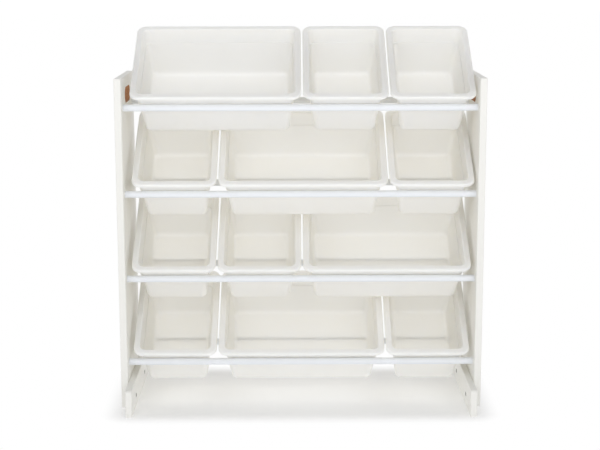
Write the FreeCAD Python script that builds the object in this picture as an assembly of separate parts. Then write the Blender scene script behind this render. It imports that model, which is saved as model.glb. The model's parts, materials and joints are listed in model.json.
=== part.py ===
import FreeCAD, Part
import math
import os

# Twelve-bin toy storage organizer.
# Two upright side panels stand on foot rails and are joined by four pairs of steel tubes.
# Tapered plastic bins lie tilted forward between the front and the rear tube of each row:
# the front wall leans on the front tube and the floor lies on the rear tube.
# Units are millimetres. +X is to the right, -Y is the open front, +Z is up.
# The origin is at the middle of the floor under the organizer.

# ---- side panels ----
overall_width = 845.0        # over the outer faces of the two side panels
panel_depth = 252.0          # front edge to rear edge
panel_thickness = 16.0
panel_floor_gap = 5.0        # the panels stop short of the floor, the foot rails stand on it
panel_above_tube = 69.5      # top edge above the top row's tube axes
panel_edge_bevel = 1.2

# ---- handle slot in each panel ----
slot_length = 100.0
slot_height = 37.0
slot_above_tube = 25.0       # slot's middle above the top row's tube axes

# ---- foot rails, one on the inner face of each panel ----
foot_thickness = 15.0
foot_height = 47.0
foot_overhang = 63.0         # how far a rail runs out past the panel, front and rear
foot_end_round = 8.0
foot_edge_bevel = 1.2

# ---- foot screws ----
foot_screw_inset = 30.0      # screw behind the panel's front edge, and before its rear edge
foot_screw_height = 26.0
foot_screw_head_diameter = 9.5
foot_screw_head_height = 3.0
foot_screw_diameter = 5.0
foot_screw_in_panel = 11.0
foot_screw_socket = 4.0      # hexagon key size
foot_screw_socket_depth = 2.0
counterbore_depth = 6.0

# ---- tubes ----
tube_diameter = 16.0
tube_wall = 1.2
tube_inset = 37.7            # tube axis behind the panel's front edge, and before its rear edge
lowest_tube_height = 106.0

# ---- threaded plugs pressed into the tube ends, and the bolts that hold them ----
plug_length = 24.0
bolt_diameter = 6.0
bolt_head_diameter = 15.0
bolt_head_height = 2.6
bolt_head_bevel = 0.8
bolt_socket = 4.0            # hexagon key size
bolt_socket_depth = 1.6
bolt_in_plug = 18.0

# ---- bins ----
bin_length = 272.0           # front lip to rear lip, along the rim
bin_height = 127.0           # rim to floor, square to the rim
bin_draft = 6.1              # degrees, all four walls
bin_wall = 2.0
floor_bevel = 9.0            # width and height of the slope between wall and floor
rim_overhang = 12.5          # rim's outer edge beyond the wall
rim_lip = 8.0                # height of the turned-down lip
rim_corner_round = 22.0
rim_bevel = 3.0              # width and height of the slope along the rim's top edge
wall_corner_round = 14.0
mouth_flare = 5.0            # width and depth of the slope from the rim into the bin
shoulder_step = 1.6          # the walls step in by this, just under the front tube
shoulder_under_tube = 1.5    # top of the step below the front tube's axis

# ---- how the bins sit ----
tube_below_rim = 36.5        # front tube axis below the rim plane, which sets the tilt
space_over_rim = 39.3        # rim plane to the floors of the row above, square to the rim
bin_gap = 4.0                # between the rims of neighbours
side_room = 10.5             # outermost rims to the side panels, with the row centred

# ---- clearances ----
bolt_clearance = 0.25        # bolt shank in a panel's hole, on the radius
counterbore_clearance = 0.75 # screw head in its counterbore, on the radius
fit_clearance = 0.05         # plug in tube, shank in thread, on the radius
seat_clearance = 0.3         # bin to tube

# Bins of each row from the left, and how far the row is pushed to the right.
# Row 1 is the top row.
rows = {
    1: (("wide", "narrow", "narrow"), 5.5),
    2: (("narrow", "wide", "narrow"), 5.5),
    3: (("narrow", "narrow", "wide"), 1.2),
    4: (("narrow", "wide", "narrow"), 1.2),
}
places = ("left", "middle", "right")

# ---- worked out from the above ----
half_width = overall_width / 2
half_depth = panel_depth / 2
inner_face = half_width - panel_thickness
rear_tube_y = half_depth - tube_inset
front_tube_y = -rear_tube_y
tube_radius = tube_diameter / 2
bore_radius = tube_radius - tube_wall
foot_screw_y = half_depth - foot_screw_inset
counterbore_radius = foot_screw_head_diameter / 2 + counterbore_clearance
tube_reach = tube_radius + seat_clearance
shoulder_depth = tube_below_rim + shoulder_under_tube
tilt = math.asin((bin_height + tube_reach - tube_below_rim) / (rear_tube_y - front_tube_y))
row_pitch = (bin_height + space_over_rim) / math.cos(tilt)
top_tube_height = lowest_tube_height + (len(rows) - 1) * row_pitch
panel_top = top_tube_height + panel_above_tube
slot_middle = top_tube_height + slot_above_tube
draft = math.tan(math.radians(bin_draft))
narrow_width = (2 * inner_face - 2 * side_room - 2 * bin_gap) / 4
bin_widths = {"narrow": narrow_width, "wide": 2 * narrow_width}

X = FreeCAD.Vector(1, 0, 0)
near = 0.01                  # how close counts as touching
overcut = 1.0                # how far a cutting form runs past what it cuts


def vec(x, y, z):
    return FreeCAD.Vector(x, y, z)


def tube_height(row):
    """Height of a row's tube axes above the floor."""
    return top_tube_height - (row - 1) * row_pitch


def edges_where(shape, test):
    """The edges of a shape whose middle point passes the test."""
    found = []
    for edge in shape.Edges:
        middle = edge.valueAt((edge.FirstParameter + edge.LastParameter) / 2)
        if test(middle, edge):
            found.append(edge)
    return found


def runs_along_x(edge):
    """True for a straight edge parallel to X."""
    ends = [vertex.Point for vertex in edge.Vertexes]
    return abs(ends[0].y - ends[-1].y) < near and abs(ends[0].z - ends[-1].z) < near


# ---------------------------------------------------------------- bins


def outline(width, inset, level, radius):
    """A level rectangle with rounded corners, inset from the rim's outer edge."""
    half = width / 2 - inset
    front = inset
    rear = bin_length - inset
    diagonal = radius * (1 - math.sqrt(0.5))
    corners = ((half, front, -1, 1), (half, rear, -1, -1), (-half, rear, 1, -1), (-half, front, 1, 1))
    arcs = []
    for index, (x, y, inward_x, inward_y) in enumerate(corners):
        ends = [vec(x + inward_x * radius, y, level), vec(x, y + inward_y * radius, level)]
        if index % 2 == 1:
            ends.reverse()
        middle = vec(x + inward_x * diagonal, y + inward_y * diagonal, level)
        arcs.append((ends[0], middle, ends[1]))
    edges = []
    for index, (start, middle, end) in enumerate(arcs):
        following = arcs[(index + 1) % len(arcs)][0]
        edges.append(Part.Arc(start, middle, end).toShape())
        edges.append(Part.LineSegment(end, following).toShape())
    return Part.Wire(edges)


def loft(width, sections):
    """A solid through outlines, each given as (inset, level, corner radius)."""
    outlines = [outline(width, *section) for section in sections]
    faces = []
    for face in Part.makeLoft(outlines, True, True).Faces:
        flat = face.findPlane(near)
        faces.append(Part.Face(flat, face.OuterWire) if flat else face)
    return Part.Solid(Part.Shell(faces))


def rim_form(width):
    """The rim: a flat flange with a sloped top edge and a turned-down lip."""
    flange = loft(width, (
        (0, -rim_lip, rim_corner_round),
        (0, -rim_bevel, rim_corner_round),
        (rim_bevel, 0, rim_corner_round - rim_bevel),
    ))
    hollow = loft(width, (
        (bin_wall, -rim_lip - overcut, rim_corner_round - bin_wall),
        (bin_wall, -bin_wall, rim_corner_round - bin_wall),
    ))
    return flange.cut(hollow)


def wall_sections(start, top, shoulder, floor, bevel, radius):
    """Sections of a drafted wall with a shoulder, from its floor up to its top level.

    start is the inset at which the wall above the shoulder would meet the rim plane.
    """
    lower = start + shoulder_step
    foot = shoulder - shoulder_step
    return [
        (lower - floor * draft + bevel, floor, radius),
        (lower - (floor + bevel) * draft, floor + bevel, radius),
        (lower - foot * draft, foot, radius),
        (start - shoulder * draft, shoulder, radius),
        (start - top * draft, top, radius),
    ]


def body_form(width):
    """The outside of the body, opening out under the flange."""
    half_wall = bin_wall / 2
    top = -mouth_flare - half_wall
    collar = rim_overhang - mouth_flare + half_wall
    sections = wall_sections(
        rim_overhang, top, -shoulder_depth, -bin_height, floor_bevel, wall_corner_round
    )
    sections.append((collar, -bin_wall, wall_corner_round))
    sections.append((collar, -half_wall, wall_corner_round))
    return loft(width, sections)


def cavity_form(width):
    """The room inside a bin, with a flared mouth."""
    start = rim_overhang + bin_wall
    floor = bin_wall - bin_height
    corner = wall_corner_round - bin_wall
    sections = wall_sections(
        start, -mouth_flare, bin_wall - shoulder_depth, floor, floor_bevel - bin_wall / 2, corner
    )
    sections.append((start - mouth_flare, 0, corner))
    sections.append((start - mouth_flare, overcut, corner))
    return loft(width, sections)


def make_bin(width):
    """A moulded bin in its own frame: rim in the plane Z = 0, front lip at Y = 0."""
    return rim_form(width).fuse(body_form(width)).cut(cavity_form(width))


def seat_bin(moulded, middle_x, row):
    """Tilt a bin and rest it on its row's two tubes."""
    wall_at_tube = rim_overhang + tube_below_rim * draft
    tube_along = wall_at_tube - tube_reach / math.cos(math.radians(bin_draft))
    placed = moulded.copy()
    placed.translate(vec(middle_x, -tube_along, tube_below_rim))
    placed.rotate(vec(0, 0, 0), X, math.degrees(tilt))
    placed.translate(vec(0, front_tube_y, tube_height(row)))
    return placed


def row_layout(row):
    """The kinds of a row's bins from the left, with the middle of each across the row."""
    kinds, push = rows[row]
    total = sum(bin_widths[kind] for kind in kinds) + bin_gap * (len(kinds) - 1)
    edge = push - total / 2
    layout = []
    for kind in kinds:
        layout.append((kind, edge + bin_widths[kind] / 2))
        edge += bin_widths[kind] + bin_gap
    return layout


# ---------------------------------------------------------------- frame


def make_slot(low_x):
    """The round-ended handle slot, as a solid to cut from a panel."""
    end_radius = slot_height / 2
    straight = slot_length - slot_height
    corner = vec(low_x, -straight / 2, slot_middle - end_radius)
    slot = Part.makeBox(panel_thickness, straight, slot_height, corner)
    for end in (-1, 1):
        centre = vec(low_x, end * straight / 2, slot_middle)
        slot = slot.fuse(Part.makeCylinder(end_radius, panel_thickness, centre, X))
    return slot.removeSplitter()


def make_panel(side):
    """A side panel with its handle slot and its holes. side is -1 left, 1 right."""
    low_x = min(side * inner_face, side * half_width)
    height = panel_top - panel_floor_gap
    corner = vec(low_x, -half_depth, panel_floor_gap)
    panel = Part.makeBox(panel_thickness, panel_depth, height, corner)
    panel = panel.makeChamfer(panel_edge_bevel, panel.Edges)
    panel = panel.cut(make_slot(low_x))
    for row in rows:
        for tube_y in (front_tube_y, rear_tube_y):
            start = vec(low_x, tube_y, tube_height(row))
            radius = bolt_diameter / 2 + bolt_clearance
            panel = panel.cut(Part.makeCylinder(radius, panel_thickness, start, X))
    for screw_y in (-foot_screw_y, foot_screw_y):
        start = vec(side * inner_face, screw_y, foot_screw_height)
        radius = foot_screw_diameter / 2 + fit_clearance
        panel = panel.cut(Part.makeCylinder(radius, foot_screw_in_panel + overcut, start, X * side))
    return panel


def make_foot(side):
    """A foot rail on the panel's inner face, with two counterbored screw holes."""
    low_x = min(side * inner_face, side * (inner_face - foot_thickness))
    length = panel_depth + 2 * foot_overhang
    rail = Part.makeBox(foot_thickness, length, foot_height, vec(low_x, -length / 2, 0))

    def upper_end(point, edge):
        at_end = abs(abs(point.y) - length / 2) < near
        return at_end and abs(point.z - foot_height) < near

    rail = rail.makeFillet(foot_end_round, edges_where(rail, upper_end))
    rail = rail.makeChamfer(foot_edge_bevel, edges_where(
        rail, lambda point, edge: point.z > near and not runs_along_x(edge)
    ))
    for screw_y in (-foot_screw_y, foot_screw_y):
        start = vec(side * (inner_face - foot_thickness), screw_y, foot_screw_height)
        bore = Part.makeCylinder(counterbore_radius, counterbore_depth, start, X * side)
        radius = foot_screw_diameter / 2 + bolt_clearance
        through = Part.makeCylinder(radius, foot_thickness, start, X * side)
        rail = rail.cut(bore.fuse(through))
    return rail


def make_tube(tube_y, row):
    """A steel tube between the inner faces of the panels."""
    start = vec(-inner_face, tube_y, tube_height(row))
    outside = Part.makeCylinder(tube_radius, 2 * inner_face, start, X)
    inside = Part.makeCylinder(bore_radius, 2 * inner_face, start, X)
    return outside.cut(inside)


def make_plug(side, tube_y, row):
    """A threaded plug, flush with the tube's end."""
    start = vec(side * inner_face, tube_y, tube_height(row))
    inward = X * -side
    body = Part.makeCylinder(bore_radius - fit_clearance, plug_length, start, inward)
    bore = Part.makeCylinder(bolt_diameter / 2 + fit_clearance, plug_length, start, inward)
    return body.cut(bore)


def key_socket(size, depth, start, direction):
    """A hexagonal recess for a key, cut from start along direction."""
    radius = size / math.sqrt(3)
    corners = []
    for index in range(7):
        turn = math.radians(60 * index)
        corners.append(start + vec(0, radius * math.cos(turn), radius * math.sin(turn)))
    return Part.Face(Part.makePolygon(corners)).extrude(direction * depth)


def make_bolt(side, tube_y, row):
    """A flat-headed bolt through the panel into a tube's plug."""
    outward = X * side
    seat = vec(side * half_width, tube_y, tube_height(row))
    crown = seat + outward * bolt_head_height
    head = Part.makeCylinder(bolt_head_diameter / 2, bolt_head_height, seat, outward)
    head = head.makeChamfer(bolt_head_bevel, edges_where(
        head, lambda point, edge: abs(point.x - crown.x) < near
    ))
    head = head.cut(key_socket(bolt_socket, bolt_socket_depth, crown, -outward))
    reach = panel_thickness + bolt_in_plug
    shank = Part.makeCylinder(bolt_diameter / 2, reach, seat, -outward)
    return head.fuse(shank)


def make_foot_screw(side, screw_y):
    """A socket-head screw from the foot rail into the panel."""
    outward = X * side
    seat_x = inner_face - foot_thickness + counterbore_depth
    seat = vec(side * seat_x, screw_y, foot_screw_height)
    crown = seat - outward * foot_screw_head_height
    head = Part.makeCylinder(
        foot_screw_head_diameter / 2, foot_screw_head_height, seat, -outward
    )
    head = head.cut(key_socket(foot_screw_socket, foot_screw_socket_depth, crown, outward))
    reach = foot_thickness - counterbore_depth + foot_screw_in_panel
    shank = Part.makeCylinder(foot_screw_diameter / 2, reach, seat, outward)
    return head.fuse(shank)


# ---------------------------------------------------------------- assembly


def build():
    """Every piece of the organizer, by name."""
    pieces = {}
    plugs = []
    bolts = []
    screws = []
    for side, name in ((-1, "left"), (1, "right")):
        pieces["side_panel_" + name] = make_panel(side)
        pieces["foot_rail_" + name] = make_foot(side)
        for screw_y in (-foot_screw_y, foot_screw_y):
            screws.append(make_foot_screw(side, screw_y))
    for row in rows:
        for tube_y, name in ((front_tube_y, "front"), (rear_tube_y, "rear")):
            pieces["%s_rod_%d" % (name, row)] = make_tube(tube_y, row)
            for side in (-1, 1):
                plugs.append(make_plug(side, tube_y, row))
                bolts.append(make_bolt(side, tube_y, row))
    pieces["rod_end_plugs"] = Part.makeCompound(plugs)
    pieces["rod_bolts"] = Part.makeCompound(bolts)
    pieces["foot_screws"] = Part.makeCompound(screws)
    moulded = {kind: make_bin(width) for kind, width in bin_widths.items()}
    for row in rows:
        for place, (kind, middle_x) in zip(places, row_layout(row)):
            pieces["bin_row%d_%s" % (row, place)] = seat_bin(moulded[kind], middle_x, row)
    return pieces


os.makedirs("parts", exist_ok=True)
for node, shape in build().items():
    if not shape.isValid():
        raise ValueError(node + " is not a valid shape")
    shape.exportStep("parts/" + node + ".step")
    print(node, len(shape.Solids), "solids", round(shape.Volume / 1000, 1), "cm3")
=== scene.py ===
import json
import math
import bmesh
import bpy
from mathutils import Matrix, Vector


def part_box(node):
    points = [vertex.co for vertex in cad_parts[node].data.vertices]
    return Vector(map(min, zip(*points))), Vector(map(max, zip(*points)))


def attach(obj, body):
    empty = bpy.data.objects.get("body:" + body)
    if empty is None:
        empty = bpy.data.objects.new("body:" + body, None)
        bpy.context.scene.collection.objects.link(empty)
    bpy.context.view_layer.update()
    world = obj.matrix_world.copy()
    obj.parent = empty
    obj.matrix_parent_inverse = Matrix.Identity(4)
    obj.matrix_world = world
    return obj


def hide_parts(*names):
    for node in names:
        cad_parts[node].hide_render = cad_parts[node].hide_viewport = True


# Looks for the twelve-bin toy organizer: moulded bins, foot rails, finishes, studio and camera.
# Everything is in metres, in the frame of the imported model.

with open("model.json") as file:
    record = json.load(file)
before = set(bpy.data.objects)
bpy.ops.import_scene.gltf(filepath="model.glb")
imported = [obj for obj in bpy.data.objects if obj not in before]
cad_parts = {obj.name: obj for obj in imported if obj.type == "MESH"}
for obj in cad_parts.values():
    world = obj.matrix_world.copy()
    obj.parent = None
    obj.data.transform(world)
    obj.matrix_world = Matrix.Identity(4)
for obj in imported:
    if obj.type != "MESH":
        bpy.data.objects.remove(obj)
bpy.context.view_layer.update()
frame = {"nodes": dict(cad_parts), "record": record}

# ---- camera, at the photograph's angle ----
CAMERA_PLACE = Vector((-0.0162, -3.2491, 1.0223))
CAMERA_PITCH = 10.54          # degrees below the horizon
CAMERA_YAW = 0.26             # degrees towards +X
CAMERA_ROLL = -0.10           # degrees the camera is turned anticlockwise
CAMERA_LENS = 82.87           # mm
CAMERA_SENSOR = 36.0          # mm

# ---- studio ----
WORLD_FRONT = 0.25            # light from behind the camera
WORLD_BACK = 1.05             # light from the white background behind the organizer
WORLD_TOP = 0.50              # share of that light left straight above
FLOOR_SIZE = 60.0
FLOOR_GLOW = 0.13             # the floor's own light on the object
FLOOR_GLOW_SEEN = 0.06        # and to the camera
FLOOR_FADE_FROM = 0.0         # beyond the painted shade patch, where the floor starts to turn white
FLOOR_FADE_TO = 0.08          # and where it is wholly white
SHADE_PATCH_X = 0.39            # half the width of the floor's painted shade patch, dimmer than the white around it
SHADE_PATCH_Y = 0.16            # and half its depth
LAMP_TARGET = Vector((0, 0, 0.42))
LAMP_COLOUR = (0.985, 0.992, 1.0)
KEY_PLACE = Vector((1.3, -2.95, 1.4))    # the right one, which the left one mirrors
KEY_SIZE = 1.6
KEY_POWER = 20.0              # watts
TOP_PLACE = Vector((0, -2.2, 2.8))
TOP_SIZE = 1.6
TOP_POWER = 13.0              # watts
LIGHT_BOUNCES = 12            # white boxes inside a white frame pass light on many times

# ---- bin, as moulded: rim plane at z = 0, front lip at y = 0 ----
BIN_LENGTH = 0.272
BIN_HEIGHT = 0.127
BIN_DRAFT_ANGLE = math.radians(6.1)
BIN_DRAFT = math.tan(BIN_DRAFT_ANGLE)    # inset for each metre of depth
BIN_WALL = 0.002
RIM_OVERHANG = 0.0125         # from the wall's outside to the rim's edge
RIM_LIP = 0.008               # how far down the rim is turned
RIM_TOP_ROUND = 0.004
RIM_UNDER_ROUND = 0.002       # between the rim and the outside of the wall
RIM_CORNER = 0.022            # corners seen from above, at the rim's edge
WALL_CORNER = 0.014           # and from the wall inwards
CORNER_STEPS = 14             # faces round each of those corners
MOUTH_ROUND = 0.0025          # between the rim and the inside of the wall
BASE_ROUND = 0.012            # between the walls and the floor, outside
SHOULDER_STEP = 0.0016        # inset of the walls at the shoulder
SHOULDER_UNDER_TUBE = 0.0015  # shoulder below the front tube's axis
TUBE_BELOW_RIM = 0.0365       # front tube axis below the rim plane
SEAT_GAP = 0.0003             # between a bin and its tubes
BEND_ROUND = 0.0007           # at the shoulder and the lip
BASE_MARGIN = 0.03            # from the foot of the walls to the last ring of the floor
ARC_STEP = 15                 # degrees between the points of an arc
LEAST_ARC_STEPS = 3           # faces round an edge, however little it turns
EDGE_SUPPORT = 0.0008         # flat strip beside every rounded edge
EDGE_SUPPORT_SHARE = 0.4      # and the most of the edge's radius that it takes

# ---- foot rails, as high as the photograph shows them ----
FOOT_HEIGHT = 0.064
FOOT_END_ROUND = 0.008        # upper corners, seen from the side
FOOT_BOTTOM_ROUND = 0.0016    # and the lower ones
FOOT_BEVEL = 0.0012           # round the outline of both faces
FOOT_HOLE_Y = 0.096           # foot screws before and behind the middle
FOOT_HOLE_HEIGHT = 0.026
FOOT_HOLE_RADIUS = 0.0055
FOOT_HOLE_DEPTH = 0.006       # from the rail's inner face to the seat of the screw heads
FOOT_DRILL_START = 0.002      # how far in front of that face the drill starts
NEAR = 0.0001                 # how far a point may be off a face that it belongs to
SHARP_ANGLE = 35              # degrees, from which an edge of a rail stays sharp

# ---- bare board inside the handle slots ----
SLOT_LENGTH = 0.100
SLOT_HEIGHT = 0.037
SLOT_ABOVE_TUBE = 0.025       # slot's middle above the top tube's axis
SLOT_EDGE = 0.0005            # how far the bare board reaches past the slot's outline
SLOT_WALL_FACING = 0.5        # walls of a slot face less sideways than this


# ---------------------------------------------------------------- places in the frame


def tube_middle(node):
    """The middle of a tube's axis."""
    low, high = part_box(node)
    return (low + high) / 2


def tube_radius(node):
    """Half of a tube's height, as it lies."""
    low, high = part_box(node)
    return (high.z - low.z) / 2


# ---------------------------------------------------------------- node helpers

# The inputs and the output of a Mix node that hold values of a kind.
MIX_SOCKETS = {"RGBA": (6, 7, 2), "VECTOR": (4, 5, 1)}


class Nodes:
    """A node tree, with shortcuts that add a node and return what it gives."""

    def __init__(self, tree):
        self.tree = tree

    def add(self, kind):
        """A new node, by the end of its type's name."""
        return self.tree.nodes.new("ShaderNode" + kind)

    def link(self, source, target):
        """Join an output to an input."""
        self.tree.links.new(source, target)

    def feed(self, value, socket):
        """A link when value is another node's output, and a plain value otherwise."""
        if isinstance(value, bpy.types.NodeSocket):
            self.link(value, socket)
        else:
            socket.default_value = value

    def math(self, operation, first, second=0.0):
        """An operation on one or two numbers."""
        node = self.add("Math")
        node.operation = operation
        self.feed(first, node.inputs[0])
        self.feed(second, node.inputs[1])
        return node.outputs[0]

    def vector(self, operation, first, second=(0, 0, 0)):
        """An operation on a vector, with a plain second one where it needs that."""
        node = self.add("VectorMath")
        node.operation = operation
        self.link(first, node.inputs[0])
        node.inputs[1].default_value = second
        return node.outputs[0]

    def length(self, vector):
        """How long a vector is."""
        node = self.add("VectorMath")
        node.operation = "LENGTH"
        self.link(vector, node.inputs[0])
        return node.outputs["Value"]

    def parts(self, vector):
        """The three coordinates of a vector."""
        node = self.add("SeparateXYZ")
        self.link(vector, node.inputs[0])
        return node.outputs

    def between(self, source, low, high, source_low=0.3, source_high=0.7, kind="LINEAR"):
        """source moved from its own range, that of a noise by default, to low and high."""
        node = self.add("MapRange")
        node.interpolation_type = kind
        node.inputs["From Min"].default_value = source_low
        node.inputs["From Max"].default_value = source_high
        node.inputs["To Min"].default_value = low
        node.inputs["To Max"].default_value = high
        self.link(source, node.inputs["Value"])
        return node.outputs["Result"]

    def mix(self, factor, first, second, kind="RGBA"):
        """first where factor is 0 and second where it is 1."""
        node = self.add("Mix")
        node.data_type = kind
        first_input, second_input, output = MIX_SOCKETS[kind]
        self.feed(factor, node.inputs[0])
        self.feed(first, node.inputs[first_input])
        self.feed(second, node.inputs[second_input])
        return node.outputs[output]


class Shader(Nodes):
    """A material with a Principled surface."""

    def __init__(self, name):
        self.material = bpy.data.materials.new(name)
        self.material.use_nodes = True
        super().__init__(self.material.node_tree)
        self.tree.nodes.clear()
        self.output = self.add("OutputMaterial")
        self.surface = self.add("BsdfPrincipled")
        self.link(self.surface.outputs[0], self.output.inputs["Surface"])
        self.place = self.add("TexCoord").outputs["Object"]

    def set(self, **values):
        """Plain values of the surface, with _ for a space in their names."""
        for name, value in values.items():
            self.surface.inputs[name.replace("_", " ")].default_value = value

    def noise(self, scale, detail=2.0, roughness=0.5, stretch=None):
        """A cloudy value that differs from place to place."""
        node = self.add("TexNoise")
        node.inputs["Scale"].default_value = scale
        node.inputs["Detail"].default_value = detail
        node.inputs["Roughness"].default_value = roughness
        place = self.place
        if stretch:
            mapping = self.add("Mapping")
            mapping.inputs["Scale"].default_value = stretch
            self.link(place, mapping.inputs["Vector"])
            place = mapping.outputs[0]
        self.link(place, node.inputs["Vector"])
        return node.outputs["Fac"]

    def bump(self, height, distance, strength=1.0, below=None):
        """A surface as rough as height times distance, laid over the bump below."""
        node = self.add("Bump")
        node.inputs["Distance"].default_value = distance
        node.inputs["Strength"].default_value = strength
        self.link(height, node.inputs["Height"])
        if below is not None:
            self.link(below, node.inputs["Normal"])
        return node.outputs[0]

    def finish(self, colour, roughness, normal=None):
        """The material, with its surface joined up."""
        self.link(colour, self.surface.inputs["Base Color"])
        self.link(roughness, self.surface.inputs["Roughness"])
        if normal is not None:
            self.link(normal, self.surface.inputs["Normal"])
        return self.material


def tone(red, green, blue):
    """A shader colour from display values, 0 to 255, by the sRGB curve."""
    linear = []
    for value in (red, green, blue):
        share = value / 255
        linear.append(share / 12.92 if share <= 0.04045 else ((share + 0.055) / 1.055) ** 2.4)
    return (*linear, 1.0)


# ---------------------------------------------------------------- materials

BOARD_WHITE = tone(240, 239, 235)
BOARD_WHITE_DIM = tone(237, 236, 231)
BARE_BOARD = tone(196, 146, 108)
BARE_BOARD_DARK = tone(154, 108, 76)
BARE_BOARD_ROUGHNESS = 0.85
# Raw board made far darker than BARE_BOARD: painted shade inside the deep screw holes.
DRILLED_BOARD_AND_SHADE = tone(66, 48, 34)
DRILLED_BOARD_AND_SHADE_DARK = tone(44, 31, 22)
PLASTIC_WHITE = tone(251, 249, 244)
PLASTIC_WHITE_DIM = tone(249, 247, 241)
PLASTIC_DEPTH = 1.0           # share of the light that passes into the plastic
PLASTIC_REACH = 0.008         # how far light travels inside it
PLASTIC_REACH_BY_COLOUR = (1.0, 0.97, 0.9)
TUBE_WHITE = tone(236, 239, 244)
TUBE_WHITE_DIM = tone(233, 236, 241)
PLUG_SHADE = 170              # display values of the two zinc-plated greys
FASTENER_SHADE = 190
ZINC_UNEVEN = 22              # from the lightest to the darkest of such a grey
# Painted shade: the near-black that the foot screws get for the shade of their deep holes.
SCREW_SHADE_BLACK = tone(30, 29, 28)
SCREW_SHADE_BLACK_DARK = tone(20, 19, 19)
FLOOR_WHITE = tone(250, 250, 250)


def white_plastic():
    """Moulded polypropylene: soft gloss, light passing through, fine grain, faint mould ripple."""
    shader = Shader("white_plastic")
    shader.set(Subsurface_Weight=PLASTIC_DEPTH, Subsurface_Scale=PLASTIC_REACH)
    shader.set(Subsurface_Radius=PLASTIC_REACH_BY_COLOUR)
    colour = shader.mix(shader.noise(scale=7.0), PLASTIC_WHITE, PLASTIC_WHITE_DIM)
    gloss = shader.between(shader.noise(scale=22.0, detail=3.0), low=0.34, high=0.44)
    ripple = shader.bump(shader.noise(scale=16.0, detail=1.0), distance=0.0006, strength=0.15)
    grain = shader.bump(shader.noise(scale=1400.0), distance=0.00003, strength=0.5, below=ripple)
    return shader.finish(colour, gloss, grain)


def slot_mask(shader):
    """1 on the walls of a handle slot, 0 on the faces round it."""
    middle = tube_middle("front_rod_1").z + SLOT_ABOVE_TUBE
    place = shader.parts(shader.place)
    along = shader.math("ABSOLUTE", place[1])
    within = shader.math("LESS_THAN", along, SLOT_LENGTH / 2 + SLOT_EDGE)
    above = shader.math("ABSOLUTE", shader.math("SUBTRACT", place[2], middle))
    beside = shader.math("LESS_THAN", above, SLOT_HEIGHT / 2 + SLOT_EDGE)
    facing = shader.parts(shader.add("NewGeometry").outputs["True Normal"])
    wall = shader.math("LESS_THAN", shader.math("ABSOLUTE", facing[0]), SLOT_WALL_FACING)
    return shader.math("MULTIPLY", shader.math("MULTIPLY", within, beside), wall)


def white_board():
    """Lacquered fibreboard with satin faces, and bare brown board inside the handle slots."""
    shader = Shader("white_board")
    lacquer = shader.mix(shader.noise(scale=5.0), BOARD_WHITE, BOARD_WHITE_DIM)
    fibres = shader.noise(scale=900.0, detail=4.0, roughness=0.7, stretch=(1.0, 0.35, 0.35))
    board = shader.mix(shader.between(fibres, 0.0, 1.0), BARE_BOARD, BARE_BOARD_DARK)
    bare = slot_mask(shader)
    colour = shader.mix(bare, lacquer, board)
    satin = shader.between(shader.noise(scale=30.0), low=0.38, high=0.5)
    gloss = shader.math("MAXIMUM", satin, shader.math("MULTIPLY", bare, BARE_BOARD_ROUGHNESS))
    peel = shader.bump(shader.noise(scale=420.0), distance=0.00006, strength=0.5)
    fuzz = shader.bump(fibres, distance=0.0004)
    return shader.finish(colour, gloss, shader.mix(bare, peel, fuzz, kind="VECTOR"))


def white_steel():
    """Enamelled steel tube: a cooler, smoother white."""
    shader = Shader("white_steel")
    colour = shader.mix(shader.noise(scale=9.0, detail=1.0), TUBE_WHITE, TUBE_WHITE_DIM)
    gloss = shader.between(shader.noise(scale=6.0), low=0.30, high=0.34)
    return shader.finish(colour, gloss)


def zinc_steel(name, shade):
    """Zinc-plated steel of a grey that is faintly blue, with a slightly uneven sheen."""
    shader = Shader(name)
    shader.set(Metallic=1.0)
    dim = shade - ZINC_UNEVEN
    light = tone(shade, shade, shade + 2)
    dark = tone(dim, dim, dim + 4)
    colour = shader.mix(shader.noise(scale=300.0, detail=3.0), light, dark)
    gloss = shader.between(shader.noise(scale=500.0), low=0.28, high=0.45)
    return shader.finish(colour, gloss)


def drilled_board_and_shade():
    """Raw board on the walls of the deep screw holes, painted far darker than the bare board in
    the slots as painted shade of the holes' depth.
    """
    shader = Shader("drilled_board_and_shade")
    fibres = shader.noise(scale=900.0, detail=4.0)
    colour = shader.mix(fibres, DRILLED_BOARD_AND_SHADE, DRILLED_BOARD_AND_SHADE_DARK)
    gloss = shader.between(shader.noise(scale=600.0), low=0.8, high=0.95)
    return shader.finish(colour, gloss)


def screw_painted_shade():
    """Steel of the screws that sit deep in the foot rails, painted near-black as painted shade of
    their deep holes.
    """
    shader = Shader("screw_painted_shade")
    shader.set(Metallic=0.4)
    cloud = shader.noise(scale=400.0, detail=3.0)
    colour = shader.mix(cloud, SCREW_SHADE_BLACK, SCREW_SHADE_BLACK_DARK)
    gloss = shader.between(shader.noise(scale=500.0), low=0.5, high=0.65)
    return shader.finish(colour, gloss)


# ---------------------------------------------------------------- shapes


def rounded_profile(corners):
    """A line through corners (inset, level, radius) with each corner turned into an arc."""
    points = [Vector(corners[0][:2])]
    for before, corner, after in zip(corners, corners[1:], corners[2:]):
        here = Vector(corner[:2])
        towards = (Vector(before[:2]) - here).normalized()
        onward = (Vector(after[:2]) - here).normalized()
        radius = corner[2]
        half = math.acos(max(-1.0, min(1.0, towards.dot(onward)))) / 2
        reach = radius / math.tan(half)
        centre = here + (towards + onward).normalized() * (radius / math.sin(half))
        start = here + towards * reach
        end = here + onward * reach
        first = start - centre
        sweep = first.angle_signed(end - centre)
        steps = max(LEAST_ARC_STEPS, round(abs(math.degrees(sweep)) / ARC_STEP))
        support = min(EDGE_SUPPORT, radius * EDGE_SUPPORT_SHARE)
        points.append(start + towards * support)
        for step in range(steps + 1):
            turn = -sweep * step / steps
            points.append(centre + Matrix.Rotation(turn, 2) @ first)
        points.append(end + onward * support)
    points.append(Vector(corners[-1][:2]))
    return points


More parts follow.
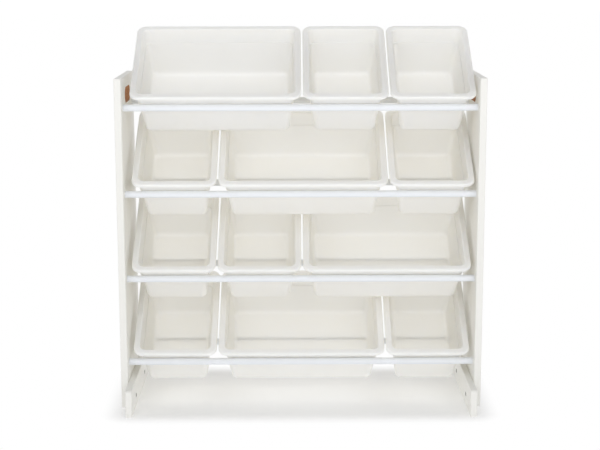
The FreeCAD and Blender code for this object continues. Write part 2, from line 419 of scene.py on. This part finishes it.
def bin_profile():
    """The section through a bin's wall, as insets from the rim's outer edge and levels."""
    inner = RIM_OVERHANG + BIN_WALL
    inner_height = BIN_HEIGHT - BIN_WALL
    shoulder = TUBE_BELOW_RIM + SHOULDER_UNDER_TUBE
    inner_shoulder = shoulder - BIN_WALL
    outer_foot = RIM_OVERHANG + SHOULDER_STEP + BIN_HEIGHT * BIN_DRAFT
    inner_foot = inner + SHOULDER_STEP + inner_height * BIN_DRAFT
    corners = (
        (outer_foot + BASE_MARGIN, -BIN_HEIGHT, 0),
        (outer_foot, -BIN_HEIGHT, BASE_ROUND),
        (RIM_OVERHANG + SHOULDER_STEP + shoulder * BIN_DRAFT, -shoulder, BEND_ROUND),
        (RIM_OVERHANG + shoulder * BIN_DRAFT, -shoulder, BEND_ROUND),
        (RIM_OVERHANG + BIN_WALL * BIN_DRAFT, -BIN_WALL, RIM_UNDER_ROUND),
        (BIN_WALL, -BIN_WALL, RIM_TOP_ROUND - BIN_WALL),
        (BIN_WALL, -RIM_LIP, BEND_ROUND),
        (0.0, -RIM_LIP, BEND_ROUND),
        (0.0, 0.0, RIM_TOP_ROUND),
        (inner, 0.0, MOUTH_ROUND),
        (inner + inner_shoulder * BIN_DRAFT, -inner_shoulder, BEND_ROUND),
        (inner + SHOULDER_STEP + inner_shoulder * BIN_DRAFT, -inner_shoulder, BEND_ROUND),
        (inner_foot, -inner_height, BASE_ROUND - BIN_WALL),
        (inner_foot + BASE_MARGIN, -inner_height, 0),
    )
    return rounded_profile(corners)


def corner_radius(inset):
    """The outline's corner radius: large at the rim, smaller from the wall inwards."""
    share = min(1.0, inset / RIM_OVERHANG)
    return RIM_CORNER + (WALL_CORNER - RIM_CORNER) * share


def outline(width, inset, level):
    """One ring of points around the bin at an inset and a level."""
    radius = corner_radius(inset)
    low_x, high_x = -width / 2 + inset, width / 2 - inset
    low_y, high_y = inset, BIN_LENGTH - inset
    centres = (
        (high_x - radius, low_y + radius, -90),
        (high_x - radius, high_y - radius, 0),
        (low_x + radius, high_y - radius, 90),
        (low_x + radius, low_y + radius, 180),
    )
    ring = []
    for cx, cy, start in centres:
        for step in range(CORNER_STEPS + 1):
            turn = math.radians(start + 90 * step / CORNER_STEPS)
            ring.append((cx + radius * math.cos(turn), cy + radius * math.sin(turn), level))
    return ring


def bin_mesh(name, width, seat):
    """A bin as one closed skin, seated: up the outside, over the rim and down the inside."""
    profile = bin_profile()
    points = []
    for inset, level in profile:
        points.extend(outline(width, inset, level))
    around = 4 * (CORNER_STEPS + 1)
    faces = []
    for ring in range(len(profile) - 1):
        for index in range(around):
            following = (index + 1) % around
            low, high = ring * around, (ring + 1) * around
            faces.append((low + index, high + index, high + following, low + following))
    faces.append(tuple(range(around)))
    last = (len(profile) - 1) * around
    faces.append(tuple(reversed(range(last, last + around))))
    mesh = bpy.data.meshes.new(name)
    mesh.from_pydata(points, [], faces)
    mesh.transform(seat)
    mesh.shade_smooth()
    return mesh


def bin_seat():
    """The move from a bin as moulded to one on its tubes, with the front tube's axis at zero."""
    front = tube_middle("front_rod_1")
    rear = tube_middle("rear_rod_1")
    reach = tube_radius("front_rod_1") + SEAT_GAP
    tilt = math.asin((BIN_HEIGHT + reach - TUBE_BELOW_RIM) / (rear.y - front.y))
    wall = RIM_OVERHANG + TUBE_BELOW_RIM * BIN_DRAFT
    along = wall - reach / math.cos(BIN_DRAFT_ANGLE)
    return Matrix.Rotation(tilt, 4, "X") @ Matrix.Translation((0, -along, TUBE_BELOW_RIM))


def make_bins(material):
    """A moulded skin for every bin of the frame, riding on that bin's own body."""
    seat = bin_seat()
    meshes = {}
    for node in sorted(frame["nodes"]):
        if not node.startswith("bin_row"):
            continue
        low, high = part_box(node)
        width = round(high.x - low.x, 4)    # to 0.1 mm, so that bins of a kind share a mesh
        if width not in meshes:
            meshes[width] = bin_mesh("bin_%d" % round(width * 1000), width, seat)
            meshes[width].materials.append(material)
        row = node[len("bin_row")]
        front = tube_middle("front_rod_" + row)
        piece = bpy.data.objects.new(node + "_shell", meshes[width])
        bpy.context.scene.collection.objects.link(piece)
        piece.location = ((low.x + high.x) / 2, front.y, front.z)
        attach(piece, node)
        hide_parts(node)


def foot_outline(low, high, inset):
    """A foot rail seen from the side, as (y, z) points, with rounder corners at the top."""
    corners = (
        (high.y - FOOT_BOTTOM_ROUND, low.z + FOOT_BOTTOM_ROUND, FOOT_BOTTOM_ROUND, -90),
        (high.y - FOOT_END_ROUND, FOOT_HEIGHT - FOOT_END_ROUND, FOOT_END_ROUND, 0),
        (low.y + FOOT_END_ROUND, FOOT_HEIGHT - FOOT_END_ROUND, FOOT_END_ROUND, 90),
        (low.y + FOOT_BOTTOM_ROUND, low.z + FOOT_BOTTOM_ROUND, FOOT_BOTTOM_ROUND, 180),
    )
    ring = []
    for middle_y, middle_z, radius, start in corners:
        for step in range(90 // ARC_STEP + 1):
            turn = math.radians(start + ARC_STEP * step)
            reach = radius - inset
            ring.append((middle_y + reach * math.cos(turn), middle_z + reach * math.sin(turn)))
    return ring


def ring_solid(name, rings):
    """A closed mesh through rings that have as many points each, flat at both ends."""
    shape = bmesh.new()
    loops = [[shape.verts.new(point) for point in ring] for ring in rings]
    for before, after in zip(loops, loops[1:]):
        for index in range(len(before)):
            following = (index + 1) % len(before)
            shape.faces.new((before[index], before[following], after[following], after[index]))
    shape.faces.new(loops[0])
    shape.faces.new(loops[-1])
    bmesh.ops.recalc_face_normals(shape, faces=shape.faces)
    mesh = bpy.data.meshes.new(name)
    shape.to_mesh(mesh)
    shape.free()
    return mesh


def drill(mesh, holes):
    """The mesh with the solids in holes cut out of it."""
    piece = bpy.data.objects.new("drilled", mesh)
    bpy.context.scene.collection.objects.link(piece)
    cutters = []
    for hole in holes:
        cutter = bpy.data.objects.new("drill", hole)
        bpy.context.scene.collection.objects.link(cutter)
        cut = piece.modifiers.new("cut", "BOOLEAN")
        cut.object = cutter
        cut.solver = "EXACT"
        cutters.append(cutter)
    bpy.context.view_layer.update()
    state = bpy.context.evaluated_depsgraph_get()
    done = bpy.data.meshes.new_from_object(piece.evaluated_get(state))
    for used in (piece, *cutters):
        bpy.data.objects.remove(used)
    return done


def in_hole(point, inner):
    """Whether a point lies in a counterbore, below the face at x = inner."""
    away = math.hypot(abs(point.y) - FOOT_HOLE_Y, point.z - FOOT_HOLE_HEIGHT)
    return away < FOOT_HOLE_RADIUS + NEAR and abs(point.x - inner) > NEAR


def foot_drill(inner, side, middle):
    """The round solid that cuts one counterbore, from off the inner face to the seat."""
    rings = []
    for x in (inner - side * FOOT_DRILL_START, inner + side * FOOT_HOLE_DEPTH):
        ring = []
        for step in range(360 // ARC_STEP):
            turn = math.radians(ARC_STEP * step)
            y = middle + FOOT_HOLE_RADIUS * math.cos(turn)
            z = FOOT_HOLE_HEIGHT + FOOT_HOLE_RADIUS * math.sin(turn)
            ring.append((x, y, z))
        rings.append(ring)
    return ring_solid("hole", rings)


def foot_board(name, low, high):
    """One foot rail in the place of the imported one, bevelled and drilled, and its inner face."""
    side = 1 if high.x > 0 else -1
    outer = high.x if side > 0 else low.x
    inner = low.x if side > 0 else high.x
    layers = (
        (outer, FOOT_BEVEL),
        (outer - side * FOOT_BEVEL, 0.0),
        (inner + side * FOOT_BEVEL, 0.0),
        (inner, FOOT_BEVEL),
    )
    rings = []
    for x, inset in layers:
        rings.append([(x, y, z) for y, z in foot_outline(low, high, inset)])
    holes = [foot_drill(inner, side, middle) for middle in (-FOOT_HOLE_Y, FOOT_HOLE_Y)]
    mesh = drill(ring_solid("rail", rings), holes)
    mesh.name = name
    mesh.shade_smooth()
    mesh.set_sharp_from_angle(angle=math.radians(SHARP_ANGLE))
    return mesh, inner


def make_feet(slots, finishes):
    """Both foot rails, with raw walls in the counterbores of the foot screws, painted dark as
    shade of the deep holes.
    """
    for node in ("foot_rail_left", "foot_rail_right"):
        low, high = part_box(node)
        mesh, inner = foot_board(node + "_board", low, high)
        mesh.materials.clear()
        mesh.materials.append(finishes[slots[node]])
        mesh.materials.append(finishes["drilled_board_and_shade"])
        for face in mesh.polygons:
            # Faces inside the counterbores get the darkened board, painted shade of the deep
            # holes.
            face.material_index = int(in_hole(face.center, inner))
        piece = bpy.data.objects.new(node + "_board", mesh)
        bpy.context.scene.collection.objects.link(piece)
        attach(piece, "frame")
        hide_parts(node)


def paint_frame(finishes):
    """Paint each node by its record slot, but the foot screws near-black as painted shade of their
    deep holes, and return the slots.
    """
    slots = {row["node"]: row["material_slot"] for row in frame["record"]["subparts"]}
    for name, node in frame["nodes"].items():
        node.data.materials.clear()
        node.data.materials.append(finishes[slots[name]])
    # The foot screws get near-black, painted shade of the deep holes they sit in.
    frame["nodes"]["foot_screws"].data.materials[0] = finishes["screw_painted_shade"]
    return slots


# ---------------------------------------------------------------- studio


def make_floor():
    """A pale floor with a painted shade patch round the footprint: there it is lit, keeps the real
    contact shadow and stays dimmer than the plain white glow it fades into beyond.
    """
    shader = Shader("studio_floor")
    shader.set(Roughness=0.9, Base_Color=FLOOR_WHITE, Emission_Color=(1, 1, 1, 1))
    seen = shader.add("LightPath").outputs["Is Camera Ray"]
    glow = shader.between(seen, FLOOR_GLOW, FLOOR_GLOW_SEEN, 0.0, 1.0)
    shader.link(glow, shader.surface.inputs["Emission Strength"])
    # Painted shade: within this patch the floor shows its lit colour and real shadow, dimmer than
    # the white emission outside.
    away = shader.vector("ABSOLUTE", shader.place)
    away = shader.vector("SUBTRACT", away, (SHADE_PATCH_X, SHADE_PATCH_Y, 0))
    away = shader.length(shader.vector("MAXIMUM", away, (0, 0, 0)))
    edge = shader.between(away, 0.0, 1.0, FLOOR_FADE_FROM, FLOOR_FADE_TO, "SMOOTHSTEP")
    fade = shader.add("MixShader")
    shader.link(edge, fade.inputs[0])
    shader.link(shader.surface.outputs[0], fade.inputs[1])
    shader.link(shader.add("Emission").outputs[0], fade.inputs[2])
    shader.link(fade.outputs[0], shader.output.inputs["Surface"])
    bpy.ops.mesh.primitive_plane_add(size=FLOOR_SIZE)
    floor = bpy.context.object
    floor.name = "studio_floor"
    floor.data.materials.append(shader.material)


def make_world():
    """White to the camera and in reflections; as a light, strongest from the background."""
    world = bpy.data.worlds.new("studio")
    world.use_nodes = True
    nodes = Nodes(world.node_tree)
    background = nodes.tree.nodes["Background"]
    background.inputs["Color"].default_value = (1, 1, 1, 1)
    way = nodes.parts(nodes.add("TexCoord").outputs["Generated"])
    depth = nodes.between(way[1], WORLD_FRONT, WORLD_BACK, -1.0, 1.0)
    height = nodes.between(way[2], 1.0, WORLD_TOP, 0.0, 1.0)
    path = nodes.add("LightPath").outputs
    seen = nodes.math("MAXIMUM", path["Is Camera Ray"], path["Is Glossy Ray"])
    seen = nodes.math("MAXIMUM", seen, path["Is Transmission Ray"])
    light = nodes.math("MULTIPLY", depth, height)
    strength = nodes.math("MAXIMUM", light, seen)
    nodes.link(strength, background.inputs["Strength"])
    bpy.context.scene.world = world


def make_lamp(name, place, size, power):
    """A square soft box at place, facing the lamps' target."""
    lamp = bpy.data.lights.new(name, "AREA")
    lamp.size = size
    lamp.energy = power
    lamp.color = LAMP_COLOUR
    holder = bpy.data.objects.new(name, lamp)
    bpy.context.scene.collection.objects.link(holder)
    holder.location = place
    holder.rotation_euler = (LAMP_TARGET - place).to_track_quat("-Z", "Y").to_euler()


def make_camera():
    """The photograph's view."""
    data = bpy.data.cameras.new("camera")
    data.sensor_width = CAMERA_SENSOR
    data.lens = CAMERA_LENS
    camera = bpy.data.objects.new("camera", data)
    bpy.context.scene.collection.objects.link(camera)
    turn = Matrix.Rotation(math.radians(-CAMERA_YAW), 4, "Z")
    tip = Matrix.Rotation(math.radians(90 - CAMERA_PITCH), 4, "X")
    roll = Matrix.Rotation(math.radians(CAMERA_ROLL), 4, "Z")
    camera.matrix_world = Matrix.Translation(CAMERA_PLACE) @ turn @ tip @ roll
    bpy.context.scene.camera = camera


finishes = {
    "white_plastic": white_plastic(),
    "white_board": white_board(),
    "white_steel": white_steel(),
    "plug_steel": zinc_steel("plug_steel", PLUG_SHADE),
    "fastener_steel": zinc_steel("fastener_steel", FASTENER_SHADE),
    "screw_painted_shade": screw_painted_shade(),
    "drilled_board_and_shade": drilled_board_and_shade(),
}
slots = paint_frame(finishes)
make_feet(slots, finishes)
make_bins(finishes["white_plastic"])
make_camera()
make_floor()
make_world()
for name, side in (("key_left", -1), ("key_right", 1)):
    place = Vector((side * KEY_PLACE.x, KEY_PLACE.y, KEY_PLACE.z))
    make_lamp(name, place, KEY_SIZE, KEY_POWER)
make_lamp("top", TOP_PLACE, TOP_SIZE, TOP_POWER)

bpy.context.scene.view_settings.view_transform = "Standard"
bpy.context.scene.cycles.diffuse_bounces = LIGHT_BOUNCES
